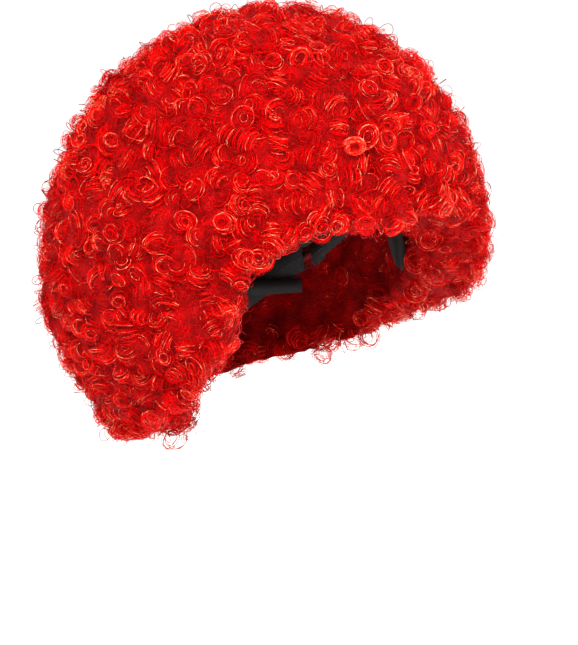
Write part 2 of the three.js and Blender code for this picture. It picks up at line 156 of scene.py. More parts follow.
class Nodes:
    """A material's node tree, with short calls to add and join nodes."""

    def __init__(self, name):
        self.material = bpy.data.materials.new(name)
        self.material.use_nodes = True
        self.tree = self.material.node_tree
        self.shader = self.tree.nodes["Principled BSDF"]

    def add(self, kind, **settings):
        node = self.tree.nodes.new(f"ShaderNode{kind}")
        for name, value in settings.items():
            if name in node.inputs:
                node.inputs[name].default_value = value
            else:
                setattr(node, name, value)
        return node

    def join(self, start, end):
        self.tree.links.new(start, end)

    def math(self, operation, first, second=None):
        """Arithmetic on sockets or plain numbers."""
        node = self.add("Math", operation=operation)
        for socket, value in zip(node.inputs, (first, second)):
            if value is None:
                continue
            if isinstance(value, (int, float)):
                socket.default_value = value
            else:
                self.join(value, socket)
        return node.outputs[0]

    def multiply(self, first, second):
        """Two colours multiplied."""
        node = self.add("Mix", data_type="RGBA", blend_type="MULTIPLY")
        node.inputs["Factor"].default_value = 1
        self.join(first, node.inputs[6])
        self.join(second, node.inputs[7])
        return node.outputs[2]

    def ramp(self, factor, stops):
        """A colour ramp through (position, colour) stops."""
        node = self.add("ValToRGB")
        elements = node.color_ramp.elements
        while len(elements) < len(stops):
            elements.new(0.5)
        for element, (position, color) in zip(elements, stops):
            element.position = position
            element.color = (*color, 1)
        self.join(factor, node.inputs["Fac"])
        return node.outputs["Color"]

    def spread(self, value, low, high):
        """A 0 to 1 value spread from low to high."""
        node = self.add("MapRange")
        self.join(value, node.inputs["Value"])
        node.inputs["To Min"].default_value = low
        node.inputs["To Max"].default_value = high
        return node.outputs["Result"]

    def noise(self, source, scale, detail=4.0):
        node = self.add("TexNoise", Scale=scale, Detail=detail)
        self.join(source, node.inputs["Vector"])
        return node.outputs["Fac"]

    def color(self, socket):
        self.join(socket, self.shader.inputs["Base Color"])

    def roughness(self, socket):
        self.join(socket, self.shader.inputs["Roughness"])

    def bump(self, height, strength, distance):
        node = self.add("Bump", Strength=strength, Distance=distance)
        self.join(height, node.inputs["Height"])
        self.join(node.outputs["Normal"], self.shader.inputs["Normal"])

    def set(self, **values):
        for name, value in values.items():
            self.shader.inputs[name.replace("_", " ")].default_value = value


STRAND_COLUMNS = 64  # the shades across the strands' map, from dark to light
HIGHLIGHT_DASHES = 5  # painted highlights: light stretches along one strand
HIGHLIGHT_DASH_SHIFT = 17  # how many of them the map moves along from its darkest to its lightest shade


def strand_material(name, shades, root, dim_between_highlights, gloss, **shader):
    """Strands coloured by their map: the column gives the shade, from dark to light.

    Along a strand the tint dims all but short dashes of the pure shade, which are painted
    highlights, and the root is darkened as painted shade."""
    nodes = Nodes(name)
    uv = nodes.add("UVMap", uv_map="OFBake")
    parts = nodes.add("SeparateXYZ")
    nodes.join(uv.outputs["UV"], parts.inputs[0])
    column = nodes.math("FLOOR", nodes.math("MULTIPLY", parts.outputs["X"], STRAND_COLUMNS))
    level = nodes.math("DIVIDE", column, STRAND_COLUMNS - 1)
    along = nodes.math("MULTIPLY", parts.outputs["Y"], HIGHLIGHT_DASHES)
    shift = nodes.math("MULTIPLY", level, HIGHLIGHT_DASH_SHIFT)
    phase = nodes.math("FRACT", nodes.math("ADD", along, shift))
    # painted highlights: short light dashes along each strand, with the tint dimming it between
    # them
    painted_highlight_dashes = nodes.ramp(
        phase, [(0.0, dim_between_highlights), (0.3, dim_between_highlights), (0.44, WHITE), (0.58, WHITE), (0.72, dim_between_highlights)])
    # painted shade: each strand darker towards its root
    ends = nodes.ramp(parts.outputs["Y"], [(0.0, root), (0.25, WHITE)])
    nodes.color(nodes.multiply(nodes.multiply(nodes.ramp(level, shades), painted_highlight_dashes), ends))
    nodes.roughness(nodes.spread(level, *gloss))
    nodes.set(**shader)
    return nodes.material


def undercoat_material():
    """The dense mat of hair under the ringlets: fine rings round each lock's middle, with painted
    shade: a darker red than the ringlets', and darker still towards each cell's edge.
    """
    nodes = Nodes("undercoat")
    spot = nodes.add("TexCoord").outputs["Object"]
    warp = nodes.add("TexNoise", Scale=160.0, Detail=3.0)
    nodes.join(spot, warp.inputs["Vector"])
    push = nodes.add("VectorMath", operation="SCALE")
    nodes.join(warp.outputs["Color"], push.inputs[0])
    push.inputs["Scale"].default_value = 6 * MM
    moved = nodes.add("VectorMath", operation="ADD")
    nodes.join(spot, moved.inputs[0])
    nodes.join(push.outputs[0], moved.inputs[1])
    cells = nodes.add("TexVoronoi", Scale=95.0)
    nodes.join(moved.outputs[0], cells.inputs["Vector"])
    away = cells.outputs["Distance"]
    rings = nodes.math("SINE", nodes.math("MULTIPLY", away, 95.0))
    fine = nodes.noise(moved.outputs[0], 900.0)
    mixed = nodes.math("ADD", nodes.math("MULTIPLY", rings, 0.25), fine)
    # painted shade: darker away from each cell's middle, in the gaps between locks
    nodes.color(nodes.multiply(
        nodes.ramp(mixed, [(0.25, (0.20, 0.0005, 0.001)), (0.75, (0.50, 0.001, 0.002))]),
        nodes.ramp(away, [(0.2, WHITE), (0.8, (0.5, 0.4, 0.4))])))
    nodes.bump(mixed, 0.8, 1.2 * MM)
    nodes.set(Roughness=0.65, Specular_IOR_Level=0.05)
    return nodes.material


def woven_material(name, dark, light, thread, relief, **shader):
    """Cloth woven of threads this wide, on the piece's own weave map, which is in metres."""
    nodes = Nodes(name)
    uv = nodes.add("UVMap", uv_map="weave")
    parts = nodes.add("SeparateXYZ")
    nodes.join(uv.outputs["UV"], parts.inputs[0])
    turn = math.pi / thread
    warp = nodes.math("SINE", nodes.math("MULTIPLY", parts.outputs["X"], turn))
    weft = nodes.math("SINE", nodes.math("MULTIPLY", parts.outputs["Y"], turn))
    cross = nodes.spread(nodes.math("MULTIPLY", warp, weft), 0.0, 1.0)
    cross.node.inputs["From Min"].default_value = -1
    grain = nodes.noise(uv.outputs["UV"], 0.4 / thread)
    height = nodes.math("ADD", cross, nodes.math("MULTIPLY", grain, 0.5))
    nodes.color(nodes.ramp(height, [(0.3, dark), (1.0, light)]))
    nodes.roughness(nodes.spread(grain, 0.55, 0.85))
    nodes.bump(height, 0.7, relief)
    nodes.set(**shader)
    return nodes.material


def velvet_material(name, dark, light):
    """Short pile: soft mottling and a faint sheen."""
    nodes = Nodes(name)
    spot = nodes.add("TexCoord").outputs["Object"]
    pile = nodes.noise(spot, 1800.0, 2.0)
    nap = nodes.noise(spot, 90.0, 3.0)
    nodes.color(nodes.ramp(nap, [(0.3, dark), (0.7, light)]))
    nodes.roughness(nodes.spread(pile, 0.75, 0.95))
    nodes.bump(pile, 0.6, 0.4 * MM)
    nodes.set(Sheen_Weight=0.03, Sheen_Roughness=0.4, Specular_IOR_Level=0.05)
    return nodes.material


def enamel_material():
    """Black enamel on wire, a little uneven, with a faint orange-peel surface."""
    nodes = Nodes("enamel")
    spot = nodes.add("TexCoord").outputs["Object"]
    peel = nodes.noise(spot, 1500.0, 2.0)
    smear = nodes.noise(spot, 240.0, 3.0)
    nodes.color(nodes.ramp(smear, [(0.3, (0.018, 0.018, 0.021)), (0.7, (0.040, 0.040, 0.046))]))
    nodes.roughness(nodes.spread(smear, 0.22, 0.38))
    nodes.bump(peel, 0.2, 0.04 * MM)
    nodes.set(Coat_Weight=0.4, Coat_Roughness=0.15)
    return nodes.material


# The hair's shades from dark to light. The orange and pale stops at the top are painted highlights,
# glints in the strands' own colour. The darkest stops are partly painted shade for the deep and
# stray strands.
HAIR_SHADES = [
    (0.0, (0.20, 0.0005, 0.0008)),
    (0.25, (0.50, 0.0008, 0.0015)),
    (0.55, (0.68, 0.0015, 0.003)),
    (0.80, (0.80, 0.005, 0.006)),
    (0.90, (0.95, 0.12, 0.05)),
    (1.0, (1.0, 0.46, 0.26)),
]
# The hair's root colour is painted shade, and its tint dims each strand between the painted
# highlight dashes.
HAIR = strand_material(
    "hair", HAIR_SHADES, (0.55, 0.3, 0.3), (0.88, 0.14, 0.14), (0.34, 0.18),
    Specular_IOR_Level=0.04)
NYLON = strand_material(
    "netting", [(0.0, (0.012, 0.011, 0.012)), (1.0, (0.035, 0.033, 0.035))],
    WHITE, WHITE, (0.4, 0.6))
# The threads' root colour darkens one end of each stitch a little, as painted shade.
RED_THREAD = strand_material(
    "red_thread", [(0.0, (0.36, 0.003, 0.004)), (1.0, (0.62, 0.010, 0.010))],
    (0.9, 0.9, 0.9), WHITE, (0.5, 0.7))
BLACK_THREAD = strand_material(
    "black_thread", [(0.0, (0.030, 0.030, 0.032)), (1.0, (0.075, 0.075, 0.080))],
    (0.9, 0.9, 0.9), WHITE, (0.45, 0.65))
UNDERCOAT = undercoat_material()
WEFT_TAPE = woven_material(
    "weft_tape", (0.16, 0.002, 0.002), (0.50, 0.008, 0.008), 0.7 * MM, 0.4 * MM)
ELASTIC = woven_material(
    "elastic", (0.008, 0.008, 0.009), (0.030, 0.030, 0.033), 0.5 * MM, 0.2 * MM,
    Specular_IOR_Level=0.15)
VELVET = velvet_material("velvet", (0.005, 0.0045, 0.005), (0.022, 0.019, 0.021))
LINING = woven_material(
    "lining", (0.010, 0.009, 0.011), (0.040, 0.038, 0.042), 0.5 * MM, 0.2 * MM,
    Sheen_Weight=0.1, Specular_IOR_Level=0.15)
LABEL = woven_material(
    "label", (0.62, 0.61, 0.58), (0.88, 0.87, 0.84), 0.35 * MM, 0.1 * MM, Sheen_Weight=0.2)
ENAMEL = enamel_material()


# ---- the CAD pieces as arrays ---------------------------------------------------

def mesh_arrays(obj):
    """Corner places, shape (faces, 3, 3), of a mesh of triangles."""
    mesh = obj.data
    mesh.calc_loop_triangles()
    corners = np.empty(len(mesh.loop_triangles) * 3, np.int32)
    mesh.loop_triangles.foreach_get("vertices", corners)
    return places(mesh)[corners].reshape(-1, 3, 3)


def places(mesh, what="co"):
    """A mesh's vertex places, or their normals, as rows of three numbers."""
    found = np.empty(len(mesh.vertices) * 3)
    mesh.vertices.foreach_get(what, found)
    return found.reshape(-1, 3)


def unit(vectors):
    """The same directions with a length of one."""
    return vectors / np.maximum(np.linalg.norm(vectors, axis=-1, keepdims=True), 1e-12)


def tree_of(names):
    """One search tree over these CAD nodes."""
    triangles = np.concatenate([mesh_arrays(NODES[name]) for name in names])
    flat = [Vector(point) for point in triangles.reshape(-1, 3)]
    faces = [(i, i + 1, i + 2) for i in range(0, len(flat), 3)]
    return BVHTree.FromPolygons(flat, faces)


RAY_START = 0.05 * MM  # how far off its face a ray starts
SEAM_REACH = 6 * MM  # faces that look at another piece this near are out of sight
POOL_DENSITY = 7  # random points tried for each one that is kept


def skin_faces():
    """Each hair node's faces that show: corners and outward normals, by node."""
    everything = tree_of(list(NODES))
    found = {}
    for name in HAIR_ROWS:
        corners = mesh_arrays(NODES[name])
        normals = unit(np.cross(corners[:, 1] - corners[:, 0], corners[:, 2] - corners[:, 0]))
        keep = []
        for i, (corner, normal) in enumerate(zip(corners, normals)):
            start = Vector(corner.mean(0) + normal * RAY_START)
            if everything.ray_cast(start, Vector(normal), SEAM_REACH)[0] is None:
                keep.append(i)
        found[name] = (corners[keep], normals[keep])
    return found


def scatter(faces, spacing):
    """Points at least a spacing apart on the faces: (node index, point, normal) arrays."""
    points, normals, owners = [], [], []
    for owner, name in enumerate(HAIR_ROWS):
        corners, normal = faces[name]
        if not len(corners):
            continue
        area = np.linalg.norm(
            np.cross(corners[:, 1] - corners[:, 0], corners[:, 2] - corners[:, 0]), axis=1) / 2
        count = int(area.sum() / spacing ** 2 * POOL_DENSITY) + 1
        picks = random.choice(len(corners), count, p=area / area.sum())
        a, b = np.sqrt(random.random(count)), random.random(count)
        weights = np.stack([1 - a, a * (1 - b), a * b], 1)
        points.append(np.einsum("ij,ijk->ik", weights, corners[picks]))
        normals.append(normal[picks])
        owners.append(np.full(count, owner))
    points, normals, owners = map(np.concatenate, (points, normals, owners))
    order = random.permutation(len(points))
    cells, kept = {}, []
    for i in order:
        cell = tuple(np.floor(points[i] / spacing).astype(int))
        around = (
            j
            for dx in (-1, 0, 1) for dy in (-1, 0, 1) for dz in (-1, 0, 1)
            for j in cells.get((cell[0] + dx, cell[1] + dy, cell[2] + dz), ()))
        if all(np.sum((points[j] - points[i]) ** 2) > spacing ** 2 for j in around):
            cells.setdefault(cell, []).append(i)
            kept.append(i)
    kept = np.array(kept)
    return owners[kept], points[kept], normals[kept]


# ---- the ball's lumps, and the locks behind the ears --------------------------------

BILLOW_WAVES = 7
BILLOW_LENGTH = (20 * MM, 34 * MM)
BILLOW_HEIGHT = 0.75 * MM
DROOP = 17 * MM  # how much lower the hair next to the neck hangs, on the wearer's right
TUCK = 7 * MM  # how much higher the ball's outer edge there ends
DROOP_AZIMUTH = -98
DROOP_SPREAD = 22
DROOP_HEIGHTS = (-30 * MM, -64 * MM)
DROOP_REACHES = (135 * MM, 66 * MM)

# The hair's lower edge as the CAD has it, by degrees round from the front on either side.
EDGE_TURNS = [0, 30, 52, 72, 92, 112, 180]
EDGE_HEIGHTS = [22 * MM, 12 * MM, -42 * MM, -68 * MM, -80 * MM, -86 * MM, -94 * MM]
# How far it is brushed up: over the right brow, and less beside the left cheek.
LIFT_TURNS = [-40, -35, -31, -25, -7, 0, 6, 35, 50, 65, 85, 115]
LIFTS = [0, 6 * MM, 13 * MM, 13 * MM, 11 * MM, 3 * MM, 0, 0, 9 * MM, 9 * MM, 6 * MM, 0]
LIFT_FADE = 50 * MM  # the height above the edge over which the lift dies away
# The ball draws in towards the nape.
WAIST = 7 * MM
WAIST_TURNS = (95, 130)
WAIST_HEIGHTS = (10 * MM, -60 * MM)

billow_ways = unit(random.normal(size=(BILLOW_WAVES, 3)))
billow_ways *= 2 * np.pi / random.uniform(*BILLOW_LENGTH, (BILLOW_WAVES, 1))
billow_starts = random.uniform(0, 2 * np.pi, BILLOW_WAVES)


def share_of(value, start, end):
    """How far a value has come from start to end, from 0 to 1."""
    return np.clip((value - start) / (end - start), 0, 1)


def dressed(points, normals):
    """The hair's places with the ball's soft lumps and the lower locks behind the ears."""
    billow = np.sin(points @ billow_ways.T + billow_starts).sum(1) * BILLOW_HEIGHT
    moved = points + normals * billow[:, None]
    azimuth = np.degrees(np.arctan2(points[:, 0], -points[:, 1]))
    beside = np.exp(-((azimuth - DROOP_AZIMUTH) / DROOP_SPREAD) ** 2)
    lower = share_of(points[:, 2], *DROOP_HEIGHTS)
    inner = share_of(np.linalg.norm(points[:, :2], axis=1), *DROOP_REACHES)
    moved[:, 2] -= (DROOP * inner - TUCK * (1 - inner)) * beside * lower
    edge = np.interp(np.abs(azimuth), EDGE_TURNS, EDGE_HEIGHTS)
    near = share_of(points[:, 2] - edge, LIFT_FADE, 0)
    moved[:, 2] += np.interp(azimuth, LIFT_TURNS, LIFTS) * near
    low = share_of(np.abs(azimuth), *WAIST_TURNS) * share_of(points[:, 2], *WAIST_HEIGHTS)
    moved[:, :2] -= unit(points[:, :2]) * (WAIST * low * (1 - inner))[:, None]
    return moved


# ---- strands ----------------------------------------------------------------------

STRAND_SIDES = 3
PIECE_QUADS = 95_000  # a piece of hair with more faces than this is made as several


def strand_rings(paths, thickness, outward, tapered):
    """Points round each path, shape (strands, steps, sides, 3)."""
    tangent = unit(np.gradient(paths, axis=1))
    side = unit(np.cross(tangent, outward))
    lift = np.cross(side, tangent)
    run = np.linspace(0, 1, paths.shape[1])
    taper = np.minimum(1, 0.3 + 4 * (1 - run)) * np.minimum(1, 0.5 + 4 * run)
    if not tapered:
        taper = np.ones_like(run)
    radius = thickness[:, None] * taper[None] / 2
    turns = 2 * np.pi * np.arange(STRAND_SIDES) / STRAND_SIDES
    ring = np.cos(turns)[:, None] * side[:, :, None] + np.sin(turns)[:, None] * lift[:, :, None]
    return paths[:, :, None] + ring * radius[:, :, None, None]


def strand_map(columns, steps):
    """The map of each strand's quads and then of its two ends: across its own column."""
    strands = len(columns)
    run = np.linspace(0, 1, steps)
    corner = (np.arange(STRAND_SIDES + 1) / STRAND_SIDES) * 0.8 + 0.1
    shape = (strands, steps - 1, STRAND_SIDES)
    left = np.broadcast_to((columns[:, None, None] + corner[:-1]) / STRAND_COLUMNS, shape)
    right = np.broadcast_to((columns[:, None, None] + corner[1:]) / STRAND_COLUMNS, shape)
    low = np.broadcast_to(run[None, :-1, None], shape)
    high = np.broadcast_to(run[None, 1:, None], shape)
    quads = np.stack([
        np.stack([left, low], -1), np.stack([right, low], -1),
        np.stack([right, high], -1), np.stack([left, high], -1)], 3)
    across = (columns[:, None] + np.array([0.1, 0.5, 0.9])) / STRAND_COLUMNS
    root = np.stack([across, np.broadcast_to([0.0, 0.02, 0.0], across.shape)], -1)
    tip = np.stack([across, np.broadcast_to([1.0, 0.98, 1.0], across.shape)], -1)
    return np.concatenate([part.reshape(-1, 2) for part in (quads, root, tip)])


def strand_mesh(name, paths, thickness, columns, outward=None):
    """Closed tubes along paths, shape (strands, steps, 3), as one mesh object.

    Without a direction for their outer side they are hair, which thins at its ends."""
    strands, steps, _ = paths.shape
    hair = outward is None
    if hair:
        outward = paths - paths.mean(1, keepdims=True) + 1e-9
    points = strand_rings(paths, thickness, outward, tapered=hair)
    base = np.arange(strands * steps * STRAND_SIDES).reshape(strands, steps, STRAND_SIDES)
    after = np.roll(base, -1, axis=2)
    quads = np.stack([base[:, :-1], after[:, :-1], after[:, 1:], base[:, 1:]], -1).reshape(-1)
    caps = np.concatenate([base[:, 0, ::-1], base[:, -1]]).reshape(-1)
    loops = np.concatenate([quads, caps])
    starts = np.concatenate([
        np.arange(0, len(quads), 4), np.arange(len(quads), len(loops), STRAND_SIDES)])

    mesh = bpy.data.meshes.new(name)
    mesh.vertices.add(points.size // 3)
    mesh.vertices.foreach_set("co", points.reshape(-1))
    mesh.loops.add(len(loops))
    mesh.loops.foreach_set("vertex_index", loops)
    mesh.polygons.add(len(starts))
    mesh.polygons.foreach_set("loop_start", starts)
    mesh.update(calc_edges=True)
    layer = mesh.uv_layers.new(name="OFBake")
    layer.uv.foreach_set("vector", strand_map(columns, steps).reshape(-1))
    mesh.shade_smooth()
    obj = bpy.data.objects.new(name, mesh)
    bpy.context.scene.collection.objects.link(obj)
    return obj


def place(piece, material, slot, body, *nodes):
    """Give a piece its material, the body it rides on and the nodes it stands for; the slot is not
    used.
    """
    piece.data.materials.clear()
    piece.data.materials.append(material)
    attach(piece, body)
    if nodes:
        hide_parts(*nodes)
    return piece


def add_hair(label, node, paths, thickness, shades):
    """One hair node's strands, of random thickness in the range, as pieces not too big."""
    quads = len(paths) * (paths.shape[1] - 1) * STRAND_SIDES
    parts = -(-quads // PIECE_QUADS)
    widths = random.uniform(*thickness, len(paths))
    for part in range(parts):
        mine = slice(part, None, parts)
        name = f"{label}_{node}" + (f"_{part + 1}" if parts > 1 else "")
        piece = strand_mesh(name, paths[mine], widths[mine], shades[mine])
        place(piece, HAIR, "hair", "cap", node)


def wobble(count, run, size):
    """A slow random wave along each of count strands."""
    phase = random.uniform(0, 2 * np.pi, (count, 2, 3))
    rate = random.uniform(2, 5, (count, 2, 1))
    waves = np.sin(rate[:, :, None] * 2 * run[None, None, :, None] + phase[:, :, None])
    return waves.sum(1) * size


AXIS_LEAN = 0.9  # how far the locks' axes keep to the skin's normal, against any way at all
LATITUDES = (-0.9, 1.25)  # where on its ball a strand may wind, in radians


def frames_of(axis):
    """Two directions across each axis."""
    across = unit(np.cross(axis, unit(random.normal(size=axis.shape))))
    return across, np.cross(axis, across)


def locks_of(points, normals, radius, strands, steps, turns, lift, frizz):
    """Curled locks: each point gets a ball of strands wound round one axis, turned any way.

    Returns paths of shape (points * strands, steps, 3)."""
    count = len(points)
    axis = unit(normals * AXIS_LEAN + unit(random.normal(size=normals.shape)))
    across, along = frames_of(axis)
    size = random.uniform(*radius, count)
    middle = points + normals * (random.normal(*lift, count) - size)[:, None]

    total = count * strands
    owner = np.repeat(np.arange(count), strands)
    run = np.linspace(0, 1, steps)
    hand = random.choice([-1, 1], count)[owner]
    swing = random.uniform(*turns, total) * 2 * np.pi * hand
    spin = random.uniform(0, 2 * np.pi, total)[:, None] + swing[:, None] * run
    drift = random.normal(0, 0.35, total)[:, None] * (run - 0.5)
    latitude = random.uniform(*LATITUDES, total)[:, None] + drift
    shell = (size[owner] * (0.5 + 0.5 * random.random(total) ** 0.5))[:, None]
    oval = random.uniform(0.86, 1.14, count)[owner][:, None]
    x = np.cos(spin) * np.cos(latitude) * shell * oval
    y = np.sin(spin) * np.cos(latitude) * shell / oval
    lean = random.normal(0, 0.12, (total, 2))
    height = np.sin(latitude) * shell + x * lean[:, :1] + y * lean[:, 1:]
    return (
        middle[owner][:, None]
        + across[owner][:, None] * x[..., None]
        + along[owner][:, None] * y[..., None]
        + axis[owner][:, None] * height[..., None]
        + wobble(total, run, frizz)
    )


def arcs(points, normals, radius, turns, steps, lift, outward, frizz):
    """Single loose strands: part of a ring each, turned any way.

    With outward, each ring stands on the skin and its arc is the part that shows."""
    count = len(points)
    run = np.linspace(-0.5, 0.5, steps)
    if outward:
        first = unit(normals + random.normal(0, 0.35, normals.shape))
        second, _ = frames_of(first)
    else:
        first, second = frames_of(unit(random.normal(size=normals.shape)))
    size = random.uniform(*radius, count)
    stretch = random.uniform(0.7, 1.2, count)[:, None]
    swing = random.uniform(*turns, count)[:, None] * 2 * np.pi * run
    middle = points + normals * random.uniform(*lift, count)[:, None]
    return (
        middle[:, None]
        + first[:, None] * (np.cos(swing) * size[:, None])[..., None]
        + second[:, None] * (np.sin(swing) * size[:, None] * stretch)[..., None]
        + wobble(count, run, frizz)
    )


FINE = (0.17 * MM, 0.33 * MM)
COARSE = (0.36 * MM, 0.56 * MM)
LOCK_CONTRAST = 7  # how far one lock's shade lies from the next one's, in columns
STRAND_CONTRAST = 8  # the same from strand to strand in a lock
PAINTED_GLINT_COLUMNS = (0.88, 1)  # the painted highlight strands' columns, as shares of them all


def strand_shades(places_count, strands, shade, glints):
    """Each strand's column: near its lock's own shade, but this share are light ones, painted
    highlights.
    """
    lock = np.repeat(random.normal(shade, LOCK_CONTRAST, places_count), strands)
    columns = lock + random.normal(0, STRAND_CONTRAST, len(lock))
    glint = random.random(len(lock)) < glints
    columns[glint] = random.uniform(*PAINTED_GLINT_COLUMNS, glint.sum()) * STRAND_COLUMNS
    return np.clip(columns, 0, STRAND_COLUMNS - 1).astype(int)


def hair_layer(label, faces, spacing, shape, thickness, shade, glints, **settings):
    """One layer of hair over the faces, a mesh or more for each hair node.

    It returns the points that the layer's locks or strands stand at."""
    owners, points, normals = scatter(faces, spacing)
    points = dressed(points, normals)
    for index, node in enumerate(HAIR_ROWS):
        mine = owners == index
        if mine.any():
            paths = shape(points[mine], normals[mine], **settings)
            shades = strand_shades(mine.sum(), len(paths) // mine.sum(), shade, glints)
            add_hair(label, node, paths, thickness, shades)
    return points


# ---- the dense hair under the curls -------------------------------------------------

MAT_VOXEL = 5 * MM
MAT_WELD = 0.01 * MM
MAT_OUTER_SINK = 6 * MM  # how far it lies under the hair's skin where that faces out
MAT_INNER_SINK = 1.2 * MM  # and where it faces the head
MAT_TURN = 0.8  # how quickly the one passes into the other
LOCK_RISE = 3 * MM
LOCK_REACH = 7 * MM


def remeshed(name, source, voxel, levels):
    """A closed quad mesh over all of a mesh's bodies, smoothed by subdivision."""
    obj = bpy.data.objects.new(name, source)
    bpy.context.scene.collection.objects.link(obj)
    remesh = obj.modifiers.new("remesh", "REMESH")
    remesh.mode = "VOXEL"
    remesh.voxel_size = voxel
    smooth = obj.modifiers.new("smooth", "SUBSURF")
    smooth.levels = levels
    depsgraph = bpy.context.evaluated_depsgraph_get()
    solid = bpy.data.meshes.new_from_object(obj.evaluated_get(depsgraph))
    obj.modifiers.clear()
    obj.data = solid
    solid.shade_smooth()
    return obj


def undercoat(locks):
    """One body a little under the hair's skin, which swells under each lock."""
    corners = np.concatenate([mesh_arrays(NODES[name]) for name in HAIR_ROWS])
    source = bpy.data.meshes.new("undercoat")
    faces = np.arange(len(corners) * 3).reshape(-1, 3)
    source.from_pydata(corners.reshape(-1, 3).tolist(), [], faces.tolist())
    whole = bmesh.new()
    whole.from_mesh(source)
    bmesh.ops.remove_doubles(whole, verts=whole.verts, dist=MAT_WELD)
    whole.to_mesh(source)
    whole.free()
    obj = remeshed("undercoat", source, MAT_VOXEL, 1)
    points, normals = places(obj.data), places(obj.data, "normal")
    facing = np.clip((normals * unit(points)).sum(1) / MAT_TURN + 0.5, 0, 1)
    sink = MAT_INNER_SINK + (MAT_OUTER_SINK - MAT_INNER_SINK) * facing
    near = KDTree(len(locks))
    for i, lock in enumerate(locks):
        near.insert(lock, i)
    near.balance()
    away = np.array([near.find(point)[2] for point in dressed(points, normals)])
    swell = LOCK_RISE * np.clip(1 - (away / LOCK_REACH) ** 2, 0, 1) * facing
    points = dressed(points, normals) + normals * (swell - sink)[:, None]
    obj.data.vertices.foreach_set("co", points.reshape(-1))
    obj.data.update()
    place(obj, UNDERCOAT, "hair", "cap", *HAIR_ROWS)


SKIN = skin_faces()
locks = hair_layer(
    "curls", SKIN, spacing=10.4 * MM, shape=locks_of, thickness=FINE, shade=38, glints=0.16,
    radius=(5.8 * MM, 8.6 * MM), strands=27, steps=16, turns=(0.75, 1.3),
    lift=(0.4 * MM, 1.2 * MM), frizz=0.18 * MM)
# painted shade: the deep layer under the curls takes dark columns
hair_layer(
    "depths", SKIN, spacing=11.5 * MM, shape=locks_of, thickness=COARSE, shade=17, glints=0.05,
    radius=(6.0 * MM, 8.5 * MM), strands=10, steps=13, turns=(0.8, 1.3),
    lift=(-3.0 * MM, 1.0 * MM), frizz=0.3 * MM)
hair_layer(
    "fuzz", SKIN, spacing=3.4 * MM, shape=arcs, thickness=FINE, shade=30, glints=0.03,
    radius=(2.5 * MM, 6.0 * MM), turns=(0.25, 0.7), steps=9,
    lift=(-8.0 * MM, -4.8 * MM), outward=False, frizz=0.3 * MM)
# painted shade: the stray strands at the outline take the darkest columns
hair_layer(
    "flyaways", SKIN, spacing=13.0 * MM, shape=arcs, thickness=COARSE, shade=4, glints=0,
    radius=(2.6 * MM, 4.4 * MM), turns=(0.6, 1.1), steps=14,
    lift=(-1.8 * MM, 0.2 * MM), outward=True, frizz=0.25 * MM)
undercoat(locks)


# ---- the cap: netting, bands, tapes and stitches ---------------------------------------

HEAD_REACH = 85 * MM  # a usual distance of the cap from the middle of the head
NET_SPLITS = 6  # how often the round net is divided: one more halves its holes
NET_REACH = 4 * MM  # faces of the CAD net further apart than this aren't its two sides
NET_THREAD = 0.42 * MM


def netting():
    """A net of six-sided holes where the CAD net lies, drawn out from the head's middle."""
    ball = bmesh.new()
    bmesh.ops.create_icosphere(ball, subdivisions=NET_SPLITS, radius=1)
    ball.faces.ensure_lookup_table()
    ways = [face.calc_center_median().normalized() for face in ball.faces]
    pairs = [[face.index for face in edge.link_faces] for edge in ball.edges]
    ball.free()
    net = tree_of(["net_cap"])
    knots = np.full((len(ways), 3), np.nan)
    for i, way in enumerate(ways):
        inner = net.ray_cast(Vector((0, 0, 0)), way)[0]
        if inner is None:
            continue
        outer = net.ray_cast(inner + way * RAY_START, way)[0]
        if outer is not None and (outer - inner).length < NET_REACH:
            knots[i] = (inner + outer) / 2
    ends = knots[np.array(pairs)]
    paths = ends[~np.isnan(ends).any(axis=(1, 2))]
    shades = random.integers(0, STRAND_COLUMNS, len(paths))
    piece = strand_mesh(
        "netting", paths, np.full(len(paths), NET_THREAD), shades, outward=paths)
    place(piece, NYLON, "net", "cap", "net_cap")


def add_weave_map(mesh, over_the_top):
    """A map in metres: round the head and up it, or flat for a piece on the crown."""
    spots = places(mesh)
    if over_the_top:
        across, up = spots[:, 0], np.arctan2(spots[:, 1], spots[:, 2]) * HEAD_REACH
    else:
        across, up = np.arctan2(spots[:, 0], -spots[:, 1]) * HEAD_REACH, spots[:, 2]
    corners = np.empty(len(mesh.loops), np.int32)
    mesh.loops.foreach_get("vertex_index", corners)
    layer = mesh.uv_layers.new(name="weave")
    layer.uv.foreach_set("vector", np.stack([across, up], -1)[corners].reshape(-1))


SHARP = math.radians(50)  # edges that turn more than this are rounded
FLAT = math.radians(0.5)  # faces that turn less than this are made one before that
WELD = 0.002 * MM
TAPE_ROUND = 0.28 * MM  # the radius at the edges of most tapes


def rounded(name, node, radius):
    """A copy of a CAD piece with its edges rounded, as a new object."""
    work = bmesh.new()
    work.from_mesh(NODES[node].data)
    bmesh.ops.remove_doubles(work, verts=work.verts, dist=WELD)
    bmesh.ops.dissolve_limit(work, angle_limit=FLAT, verts=work.verts, edges=work.edges)
    edges = [
        edge for edge in work.edges
        if len(edge.link_faces) == 2 and edge.calc_face_angle(0) > SHARP]
    bmesh.ops.bevel(
        work, geom=edges, offset=radius, segments=2, affect="EDGES", clamp_overlap=True)
    bmesh.ops.triangulate(work, faces=work.faces)
    bmesh.ops.remove_doubles(work, verts=work.verts, dist=WELD)
    mesh = bpy.data.meshes.new(name)
    work.to_mesh(mesh)
    work.free()
    mesh.shade_smooth()
    obj = bpy.data.objects.new(name, mesh)
    bpy.context.scene.collection.objects.link(obj)
    return obj


def cloth(node, material, slot, body="cap", over_the_top=False, radius=TAPE_ROUND):
    """The finished piece that stands for a CAD node of tape or cloth."""
    piece = rounded(f"{node}_cloth", node, radius)
    add_weave_map(piece.data, over_the_top)
    return place(piece, material, slot, body, node)


